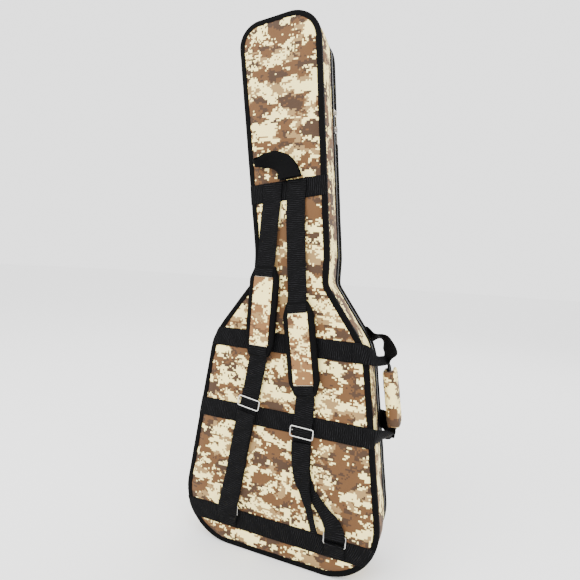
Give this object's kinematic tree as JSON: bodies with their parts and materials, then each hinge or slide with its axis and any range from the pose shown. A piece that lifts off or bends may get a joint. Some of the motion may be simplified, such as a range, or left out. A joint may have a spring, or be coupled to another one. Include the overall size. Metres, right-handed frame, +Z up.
{
  "type": "padded gig bag",
  "caption": "Padded guitar-shaped soft case with camouflage fabric, zipped cover, front pocket, shoulder straps, side carry handle and hanging loop.",
  "frame": {"origin": "Centre of the flat bottom between the two bindings, on the ground under the middle of the lower body", "axes": "+Z up along the body, +X to the side of the carry handle, +Y out of the zipped cover; the shoulder straps face -Y"},
  "size_m": [0.432, 0.154, 1.0799],
  "materials": {
    "camo": "woven polyester with a square-cornered pixel camouflage in cream, tan and two browns",
    "foam": "closed-cell foam sheet, hidden inside",
    "lining": "thin smooth lining",
    "binding": "black ribbed binding tape",
    "webbing": "black polypropylene webbing with a fine diagonal weave",
    "zip_tape": "black woven zip tape",
    "zip_teeth": "black nylon coil",
    "wire": "nickel-plated steel wire",
    "zip_metal": "nickel-plated cast metal"
  },
  "bodies": {
    "back": {"back_panel": "camo", "back_foam": "foam", "back_lining": "lining", "back_binding": "binding", "side_wall": "camo", "zip_tape_back": "zip_tape", "zip_teeth_back": "zip_teeth", "neck_band": "webbing", "upper_band": "webbing", "middle_band": "webbing", "bottom_band": "webbing", "handle_loop_back": "webbing", "strap_end_left": "webbing", "strap_end_right": "webbing", "ring_tab_left": "webbing", "ring_tab_right": "webbing"},
    "cover": {"front_panel": "camo", "front_foam": "foam", "front_lining": "lining", "front_binding": "binding", "front_rim": "camo", "zip_tape_front": "zip_tape", "zip_teeth_front": "zip_teeth", "front_band": "webbing", "handle_loop_front": "webbing", "pocket_wall": "camo", "pocket_teeth_wall": "zip_teeth"},
    "pocket_front": {"pocket_panel": "camo", "pocket_binding": "binding", "pocket_teeth_panel": "zip_teeth"},
    "strap_upper_left": {"strap_top_left": "webbing", "pad_left": "camo", "pad_binding_left": "binding", "strap_mid_left": "webbing"},
    "strap_upper_right": {"strap_top_right": "webbing", "pad_right": "camo", "pad_binding_right": "binding", "strap_mid_right": "webbing"},
    "strap_lower_left": {"strap_tail_left": "webbing", "ring_left": "wire"},
    "strap_lower_right": {"strap_tail_right": "webbing", "ring_right": "wire"},
    "slide_left": {"strap_slide_left": "wire"},
    "slide_right": {"strap_slide_right": "wire"},
    "hang_loop": {"hang_loop": "webbing"},
    "grip": {"grip_wrap": "camo"},
    "grip_flap": {"grip_flap": "camo"},
    "slider_upper": {"zip_slider_upper": "zip_metal"},
    "slider_lower": {"zip_slider_lower": "zip_metal"},
    "pull_upper": {"zip_pull_upper": "zip_metal"},
    "pull_lower": {"zip_pull_lower": "zip_metal"},
    "pocket_slider": {"pocket_slider": "zip_metal"},
    "pocket_pull": {"pocket_pull": "zip_metal"}
  },
  "joints": [
    {"name": "cover_open", "type": "hinge", "parent": "back", "child": "cover", "pos_m": [-0.2065, 0.028, 0.118], "axis": [0, 0, 1], "range_deg": [0, 110]},
    {"name": "pocket_open", "type": "hinge", "parent": "cover", "child": "pocket_front", "pos_m": [0, 0.0753, 0.032], "axis": [-1, 0, 0], "range_deg": [0, 30]},
    {"name": "strap_left_swing", "type": "hinge", "parent": "back", "child": "strap_upper_left", "pos_m": [-0.045, -0.0584, 0.70766], "axis": [-1, 0, 0], "range_deg": [0, 8]},
    {"name": "strap_left_foot", "type": "hinge", "parent": "back", "child": "strap_lower_left", "pos_m": [-0.1, -0.0611, 0.0684], "axis": [1, 0, 0], "range_deg": [0, 14.48]},
    {"name": "strap_left_adjust", "type": "slide", "parent": "strap_upper_left", "child": "slide_left", "axis": [0.1528, 0, 0.9883], "range_m": [0, 0.06]},
    {"name": "strap_right_swing", "type": "hinge", "parent": "back", "child": "strap_upper_right", "pos_m": [0.005, -0.0584, 0.71406], "axis": [-1, 0, 0], "range_deg": [0, 8]},
    {"name": "strap_right_foot", "type": "hinge", "parent": "back", "child": "strap_lower_right", "pos_m": [0.126, -0.0611, 0.0684], "axis": [1, 0, 0], "range_deg": [0, 19.25]},
    {"name": "strap_right_adjust", "type": "slide", "parent": "strap_upper_right", "child": "slide_right", "axis": [0.0428, 0, 0.9991], "range_m": [0, 0.05]},
    {"name": "hang_loop_fold", "type": "hinge", "parent": "back", "child": "hang_loop", "pos_m": [-0.0126, -0.058, 0.75658], "axis": [0.9919, 0, 0.1271], "range_deg": [0, 40]},
    {"name": "grip_shift", "type": "slide", "parent": "back", "child": "grip", "axis": [-0.1599, 0, 0.9871], "range_m": [-0.006, 0.006]},
    {"name": "grip_flap_open", "type": "hinge", "parent": "grip", "child": "grip_flap", "pos_m": [0.21733, 0.00325, 0.35152], "axis": [0.1599, 0, -0.9871], "range_deg": [0, 100]},
    {"name": "zip_upper_run", "type": "slide", "parent": "back", "child": "slider_upper", "axis": [-0.107, 0, 0.9943], "range_m": [0, 0.1]},
    {"name": "zip_lower_run", "type": "slide", "parent": "back", "child": "slider_lower", "axis": [0.107, 0, -0.9943], "range_m": [0, 0.18]},
    {"name": "pull_upper_swing", "type": "hinge", "parent": "slider_upper", "child": "pull_upper", "pos_m": [0.04953, 0.028, 0.90963], "axis": [0, -1, 0], "range_deg": [0, 150]},
    {"name": "pull_lower_swing", "type": "hinge", "parent": "slider_lower", "child": "pull_lower", "pos_m": [0.05327, 0.028, 0.87482], "axis": [0, -1, 0], "range_deg": [0, 150]},
    {"name": "pocket_zip_run", "type": "slide", "parent": "cover", "child": "pocket_slider", "axis": [-0.134, 0, -0.991], "range_m": [0, 0.15]},
    {"name": "pocket_pull_swing", "type": "hinge", "parent": "pocket_slider", "child": "pocket_pull", "pos_m": [-0.16723, 0.0753, 0.34078], "axis": [0, 1, 0], "range_deg": [0, 150]}
  ],
  "couplings": [
    {"joint": "strap_left_foot", "follows": "strap_left_swing", "ratio": 1.8087},
    {"joint": "strap_right_foot", "follows": "strap_right_swing", "ratio": 2.4054}
  ]
}
